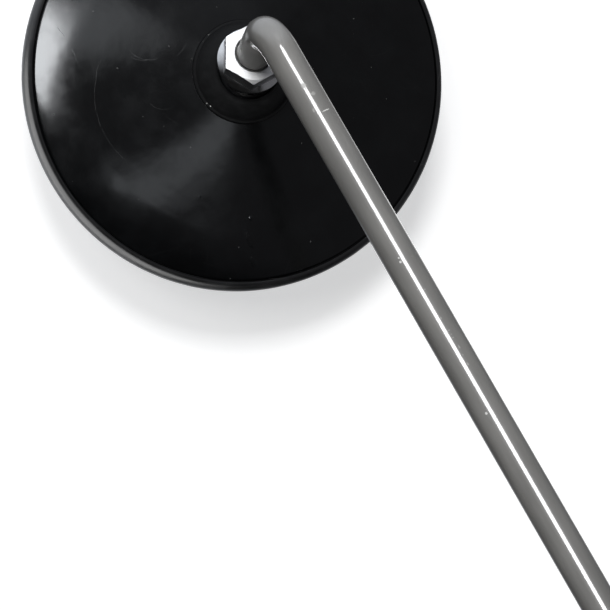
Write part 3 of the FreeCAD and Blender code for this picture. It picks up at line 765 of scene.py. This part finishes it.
# Spring plate and screws
# A flat disc of plated sheet steel that closes the hub and loads the spring, held by three
# pan-headed screws in the posts.
plate_steel = plated_steel(
    "sheet_plating", HEAD_PLACE, PLATE_BRIGHT, PLATE_DULL, smooth=0.25, rough=0.42)
for plated_node in ("spring_plate", "plate_screws"):
    dress_node(plated_node, plate_steel)

# Glass pad
# A ring of dark grey foam, cut from sheet and glued to the back of the glass, so that the glass
# doesn't rattle in its ring.
FOAM_PORE_SHADE = (0.020, 0.020, 0.022, 1.0)
FOAM_GREY = (0.075, 0.076, 0.080, 1.0)
foam, tree, shader = new_finish("grey_foam", {"Specular IOR Level": 0.2})
place = surface_place(tree, HEAD_PLACE)
pores = add_node(tree, "ShaderNodeTexVoronoi", sockets={"Vector": place, "Scale": 2.2})
# The pits of the pores are painted darker than the foam, as painted shade in the hollows
tree.links.new(
    tint(tree, pores.outputs["Distance"], FOAM_PORE_SHADE, FOAM_GREY), shader.inputs["Base Color"])
tree.links.new(ramp(tree, pores.outputs["Distance"], 0.0, 1.0, 0.95, 0.8), shader.inputs["Roughness"])
tree.links.new(raised(tree, pores.outputs["Distance"], depth=0.2), shader.inputs["Normal"])
dress_node("glass_pad", foam)

# Mirror glass
# A round pane of slightly convex glass with ground edges, silvered behind and painted over.
# Its front is wiped but not clean.
GLASS_CURVE = 1400.0
GLASS_RADIUS = 61.6
GLASS_FRONT = -20.97
GLASS_THICKNESS = 2.5
GLASS_EDGE = 0.4
GLASS_FACING = -0.9
glass_shape = bmesh.new()
sweep = math.asin(GLASS_RADIUS / GLASS_CURVE)
front_pole = glass_shape.verts.new((0.0, GLASS_FRONT, 0.0))
bmesh.ops.spin(
    glass_shape, geom=[front_pole], cent=(0, GLASS_FRONT + GLASS_CURVE, 0), axis=(0, 0, 1),
    angle=sweep, steps=24)
bmesh.ops.spin(
    glass_shape, geom=glass_shape.verts[:] + glass_shape.edges[:], cent=(0, 0, 0), axis=(0, 1, 0),
    angle=FULL_TURN, steps=192, use_merge=True)
bmesh.ops.remove_doubles(glass_shape, verts=glass_shape.verts, dist=SAME_PLACE / 2)
bmesh.ops.recalc_face_normals(glass_shape, faces=glass_shape.faces)
front_faces = glass_shape.faces[:]
if front_faces[0].normal.y > 0:
    bmesh.ops.reverse_faces(glass_shape, faces=front_faces)
bmesh.ops.solidify(glass_shape, geom=front_faces, thickness=GLASS_THICKNESS)
for face in glass_shape.faces:
    face.material_index = 0 if face.normal.y < GLASS_FACING else 1
front_rim = [
    edge for edge in glass_shape.edges
    if {face.material_index for face in edge.link_faces} == {0, 1}
]
bmesh.ops.bevel(
    glass_shape, geom=front_rim, offset=GLASS_EDGE, segments=3, profile=0.5, affect="EDGES",
    material=-1)

SILVER_CLEAN = (0.90, 0.92, 0.92, 1.0)
SILVER_WIPED = (0.84, 0.86, 0.87, 1.0)
SILVER_SOILED = (0.55, 0.55, 0.54, 1.0)
GROUND_DARK = (0.05, 0.085, 0.078, 1.0)
GROUND_PALE = (0.11, 0.15, 0.14, 1.0)
silvering, tree, shader = new_finish("silvered_glass", {"Metallic": 1.0})
place = surface_place(tree, HEAD_PLACE)
wiping = stretched(tree, place, (9.0, 9.0, 34.0), turn=(0.0, 0.5, 0.0))
wiped = ramp(tree, noise(tree, wiping, scale=1.0, detail=4.0), 0.45, 0.8)
specks = use_group(tree, dust_specks, {"Place": place, "Per Millimetre": 0.35, "Share": 0.11})
hair = use_group(tree, hairlines, {"Place": place, "Share": 0.2})
soiled = strongest(tree, [(specks, 1.0), (hair, 0.4)])
tree.links.new(
    tint(tree, soiled, tint(tree, wiped, SILVER_CLEAN, SILVER_WIPED), SILVER_SOILED),
    shader.inputs["Base Color"])
tree.links.new(
    sums(tree, "ADD", ramp(tree, wiped, 0.0, 1.0, 0.008, 0.05), sums(tree, "MULTIPLY", soiled, 0.3)),
    shader.inputs["Roughness"])
ground_edge, tree, shader = new_finish("ground_glass_edge")
place = surface_place(tree, HEAD_PLACE)
frosted = ramp(tree, noise(tree, place, scale=2.5, detail=3.0), 0.3, 0.7)
tree.links.new(tint(tree, frosted, GROUND_DARK, GROUND_PALE), shader.inputs["Base Color"])
tree.links.new(ramp(tree, frosted, 0.0, 1.0, 0.35, 0.6), shader.inputs["Roughness"])
glass = finish_piece(
    "convex_mirror", glass_shape, HEAD_PLACE, "head", [silvering, ground_edge], sharp=30.0)
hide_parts("mirror_glass")

# Rim ring
# A channel of satin black plastic snapped round the shell's flange and the edge of the glass.
# Two small notches in its outer edge let a tool lift it off.
RIM_OUTLINE = (
    # radius and height of a corner, then its rounding and the rounding's segments
    (59.6, -21.0, 0.3, 2),
    (63.0, -21.0, 0.8, 5),
    (63.0, -16.6, 1.6, 8),
    (61.7, -13.6, 0.8, 6),
    (60.9, -13.6, 0.2, 3),
    (60.9, -14.85),
    (61.9, -14.85),
    (61.9, -19.75),
    (59.6, -19.75),
)
NOTCH_AZIMUTHS = (18.0, 29.3)
NOTCH_SIZE = (1.6, 1.2, 1.1)
NOTCH_PLACE = (63.0, -20.6, 0.0)
rim_shape = turned(RIM_OUTLINE, steps=288)
notch_shape = bmesh.new()
for azimuth in NOTCH_AZIMUTHS:
    block = bmesh.ops.create_cube(notch_shape, size=1.0)["verts"]
    bmesh.ops.scale(notch_shape, vec=NOTCH_SIZE, verts=block)
    bmesh.ops.translate(notch_shape, vec=NOTCH_PLACE, verts=block)
    bmesh.ops.rotate(
        notch_shape, verts=block, cent=(0, 0, 0),
        matrix=Matrix.Rotation(math.radians(-azimuth), 3, "Y"))

RIM_BLACK = (0.010, 0.0102, 0.0108, 1.0)
RIM_WORN = (0.018, 0.0184, 0.0195, 1.0)
rim_plastic, tree, shader = new_finish("satin_black_rim", {"Specular IOR Level": 0.9})
place = surface_place(tree, HEAD_PLACE)
worn = ramp(tree, noise(tree, place, scale=0.16, detail=5.0, roughness=0.6), 0.35, 0.75)
specks = use_group(tree, dust_specks, {"Place": place, "Per Millimetre": 0.6, "Share": 0.12})
hair = use_group(tree, hairlines, {"Place": place, "Share": 0.24})
rubbed = strongest(tree, [(hair, 0.2), (specks, 0.25)])
tree.links.new(
    tint(tree, rubbed, tint(tree, worn, RIM_BLACK, RIM_WORN), DUST_GREY), shader.inputs["Base Color"])
tree.links.new(ramp(tree, worn, 0.0, 1.0, 0.3, 0.4), shader.inputs["Roughness"])
grain = noise(tree, place, scale=2.6, detail=3.0)
tree.links.new(raised(tree, grain, depth=0.012), shader.inputs["Normal"])
rim_ring = finish_piece("channel_rim", rim_shape, HEAD_PLACE, "head", [rim_plastic], sharp=30.0)
notches = finish_piece("notch_blocks", notch_shape, HEAD_PLACE, "head", [rim_plastic])
cut_with(rim_ring, notches, "DIFFERENCE")
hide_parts("rim_ring")

# Camera
# It stands where the photograph was taken from, behind the mirror and lower than its head. Its lens
# is long, and it is rolled as the photograph's camera was.
PHOTO_WIDTH = 610
FOCAL_PIXELS = 2890.4
SENSOR_WIDTH = 36.0
CAMERA_PLACE = (0.2144, 0.75543, 0.0573)
CAMERA_FORWARD = (-0.2360, -0.9657, 0.1080)
CAMERA_UP = (-0.4587, 0.2087, 0.8637)
lens = bpy.data.cameras.new("photo_camera")
lens.sensor_width = SENSOR_WIDTH
lens.lens = FOCAL_PIXELS * SENSOR_WIDTH / PHOTO_WIDTH
camera = bpy.data.objects.new("photo_camera", lens)
bpy.context.scene.collection.objects.link(camera)
forward = Vector(CAMERA_FORWARD).normalized()
rightward = forward.cross(Vector(CAMERA_UP)).normalized()
upward = rightward.cross(forward)
camera_turn = Matrix((rightward, upward, -forward)).transposed().to_4x4()
camera.matrix_world = Matrix.Translation(CAMERA_PLACE) @ camera_turn
bpy.context.scene.camera = camera

# Floor
# The white sheet behind the mirror, clear of the head however it is tilted. It shows only from the
# side that it is lit on, so that the glass can be looked at, and it takes the head's shadow.
FLOOR_HEIGHT = -54.0
FLOOR_REACH = 1600.0
FLOOR_WHITE = (0.7, 0.7, 0.7, 1.0)
FLOOR_GLOW = 0.53
PURE_WHITE = (1.0, 1.0, 1.0, 1.0)
floor_shape = bmesh.new()
bmesh.ops.create_grid(floor_shape, x_segments=2, y_segments=2, size=FLOOR_REACH)
bmesh.ops.rotate(
    floor_shape, verts=floor_shape.verts, cent=(0, 0, 0),
    matrix=Matrix.Rotation(math.radians(-90), 3, "X"))
bmesh.ops.translate(floor_shape, verts=floor_shape.verts, vec=(0, FLOOR_HEIGHT, 0))
bmesh.ops.transform(floor_shape, matrix=HEAD_PLACE, verts=floor_shape.verts)
floor_mesh = bpy.data.meshes.new("white_table")
floor_shape.to_mesh(floor_mesh)
floor_shape.free()
floor = bpy.data.objects.new("white_table", floor_mesh)
bpy.context.scene.collection.objects.link(floor)
table_white = bpy.data.materials.new("table_white")
table_white.use_nodes = True
tree = table_white.node_tree
tree.nodes.clear()
facing = add_node(tree, "ShaderNodeNewGeometry")
matt = add_node(tree, "ShaderNodeBsdfDiffuse", sockets={"Color": FLOOR_WHITE})
seen = add_node(tree, "ShaderNodeLightPath").outputs["Is Camera Ray"]
glow = add_node(tree, "ShaderNodeEmission", sockets={
    "Color": PURE_WHITE, "Strength": sums(tree, "MULTIPLY", seen, FLOOR_GLOW)})
white = add_node(tree, "ShaderNodeAddShader", sockets={0: matt.outputs[0], 1: glow.outputs[0]})
clear = add_node(tree, "ShaderNodeBsdfTransparent")
either = add_node(tree, "ShaderNodeMixShader", sockets={
    0: facing.outputs["Backfacing"], 1: white.outputs[0], 2: clear.outputs[0]})
add_node(tree, "ShaderNodeOutputMaterial", sockets={"Surface": either.outputs[0]})
floor_mesh.materials.append(table_white)
floor.visible_glossy = False
floor.visible_diffuse = False
floor.visible_transmission = False
floor.visible_shadow = False

# Studio light
# A dim room, lighter at the upper left, with a window that shows in the shell. The stem, the nut,
# the ring and the shell have soft lights of their own, and two draw the head's shadow on the sheet.
WINDOW_BLUE = (0.94, 0.97, 1.0)
PATCH_BLUE = (0.9, 0.95, 1.0)
SOFTBOX_PLACE = (0.042, 1.2, 0.1)
head_centre = HEAD_PLACE.to_translation()
glass_side = (HEAD_PLACE.to_3x3() @ Vector((0, -1, 0))).normalized()


def soft_light(
        name, across, up, distance, size, radiance, colour=(1.0, 1.0, 1.0), roll=0.0, ahead=1.0):
    """Rectangular light that the head sees to one side of the camera, and above or below it."""
    direction = (rightward * across + upward * up - forward * ahead).normalized()
    lamp = bpy.data.lights.new(name, "AREA")
    lamp.shape = "RECTANGLE"
    lamp.size = size[0]
    lamp.size_y = size[1]
    lamp.energy = radiance * size[0] * size[1] * math.pi
    lamp.color = colour
    light = bpy.data.objects.new(name, lamp)
    upright = (upward - direction * upward.dot(direction)).normalized()
    facing = Matrix((upright.cross(direction), upright, direction)).transposed().to_4x4()
    light.matrix_world = (
        Matrix.Translation(head_centre + direction * distance) @ facing
        @ Matrix.Rotation(math.radians(roll), 4, "Z"))
    light.visible_camera = False
    bpy.context.scene.collection.objects.link(light)
    return light


def linked(name, pieces, state):
    """Collection of the pieces that a light reaches or that shade it, or that it leaves out."""
    reach = bpy.data.collections.new(name)
    for piece in pieces:
        reach.objects.link(piece)
    for item in reach.collection_objects:
        item.light_linking.link_state = state
    return reach


def shine_on(light, pieces, state="INCLUDE"):
    """Keep a light to some pieces, or off them."""
    light.light_linking.receiver_collection = linked(light.name + "_reach", pieces, state)


window = soft_light(
    "window", across=-0.48, up=0.30, distance=1.3, size=(0.36, 0.46), radiance=17.0,
    colour=WINDOW_BLUE, roll=-20.0)
shine_on(window, (stem, head_nut, head_washer, stud, boss, rim_ring, floor), "EXCLUDE")

# Two faint patches of light on the shell, as from paler parts of the room
upper_patch = soft_light(
    "upper_patch", across=-0.225, up=0.42, distance=0.4, size=(0.09, 0.10), radiance=1.35,
    colour=PATCH_BLUE, roll=-25.0)
lower_patch = soft_light(
    "lower_patch", across=0.08, up=-0.245, distance=0.4, size=(0.18, 0.045), radiance=1.25,
    colour=PATCH_BLUE)
shine_on(upper_patch, (shell,))
shine_on(lower_patch, (shell,))

# Two lights that draw the head's shadow on the sheet, where the stem casts none. The first lights
# the head too.
overhead = soft_light(
    "overhead", across=0.015, up=0.404, distance=1.4, size=(0.28, 0.28), radiance=42.0)
side_light = soft_light(
    "side_light", across=-0.22, up=0.15, distance=1.4, size=(0.4, 0.4), radiance=9.0)
shine_on(overhead, (stem,), "EXCLUDE")
shine_on(side_light, (floor,))
for light in (overhead, side_light):
    light.light_linking.blocker_collection = linked(
        light.name + "_shadow", (stem, perch_thread, base_washer, base_nut), "EXCLUDE")

# Lights that brighten the stem's paint from above, from the lower left and from the glass side. The
# second reaches the boss too.
crown = soft_light("crown", across=0.1, up=1.2, distance=0.4, size=(0.2, 0.2), radiance=11.0)
fill = soft_light("fill", across=-0.55, up=-0.75, distance=1.2, size=(0.8, 0.8), radiance=3.8)
back_fill = soft_light(
    "back_fill", across=-0.25, up=0.0, distance=1.2, size=(0.8, 0.8), radiance=6.0, ahead=-1.0)
shine_on(crown, (stem,))
shine_on(fill, (stem, boss))
shine_on(back_fill, (stem,))
for light in (overhead, crown, fill, back_fill):
    light.visible_glossy = False

# Lights that show in the nut's face, the ring's wall and the stem's right edge
nut_light = soft_light(
    "nut_light", across=-0.23, up=0.52, distance=1.2, size=(0.5, 0.5), radiance=16.0)
ring_light = soft_light(
    "ring_light", across=-0.75, up=-0.55, distance=0.6, size=(0.8, 1.25), radiance=1.9, ahead=-0.1)
edge_light = soft_light(
    "edge_light", across=0.3, up=0.17, distance=0.6, size=(0.44, 0.44), radiance=1.0, ahead=-0.94)
shine_on(nut_light, (head_nut,))
shine_on(ring_light, (rim_ring,))
shine_on(edge_light, (stem,))

# The tall softbox that draws the bright line along the stem
softbox = soft_light(
    "softbox", across=0.0, up=0.0, distance=1.2, size=(0.47, 1.12), radiance=11.0)
softbox.data.shape = "ELLIPSE"
softbox.data.energy *= math.pi / 4
softbox.matrix_world = Matrix.Translation(SOFTBOX_PLACE) @ Matrix.Rotation(math.radians(-90), 4, "X")
shine_on(softbox, (stem, base_nut, base_washer, stud))

# The room: its upper left is the brightest, its floor is nearly black, and a wall faces the glass
ROOM_GREY = (0.10, 0.10, 0.106, 1.0)
ROOM_SKY = (0.72, 0.76, 0.82, 1.0)
ROOM_BLACK = (0.008, 0.008, 0.008, 1.0)
WALL_LOW = (0.18, 0.19, 0.21, 1.0)
WALL_HIGH = (0.62, 0.66, 0.70, 1.0)
world = bpy.data.worlds.new("studio_room")
bpy.context.scene.world = world
world.use_nodes = True
tree = world.node_tree
background = tree.nodes["Background"]
heading = add_node(tree, "ShaderNodeTexCoord").outputs["Generated"]
sky_side = dot(tree, heading, rightward * -0.35 + upward * 0.94)
high_side = dot(tree, heading, rightward * 0.5 + upward * 0.85)
dim_room = tint(tree, ramp(tree, sky_side, 0.2, 1.0), ROOM_GREY, ROOM_SKY)
dim_room = tint(tree, ramp(tree, high_side, -0.4, -0.05), ROOM_BLACK, dim_room)
far_wall = tint(tree, ramp(tree, sky_side, -0.35, 0.35), WALL_LOW, WALL_HIGH)
room = tint(tree, ramp(tree, dot(tree, heading, glass_side), 0.78, 0.94), dim_room, far_wall)
# The camera sees a white backdrop, and so do metal and glass that look straight at it
rays = add_node(tree, "ShaderNodeLightPath").outputs
straight = ramp(tree, dot(tree, heading, forward), 0.9, 0.99)
mirrored = sums(tree, "MULTIPLY", rays["Is Glossy Ray"], straight)
seen = sums(tree, "MAXIMUM", rays["Is Camera Ray"], rays["Is Transmission Ray"])
seen = sums(tree, "MAXIMUM", seen, mirrored)
tree.links.new(tint(tree, seen, room, PURE_WHITE), background.inputs["Color"])

bpy.context.scene.view_settings.view_transform = "Standard"
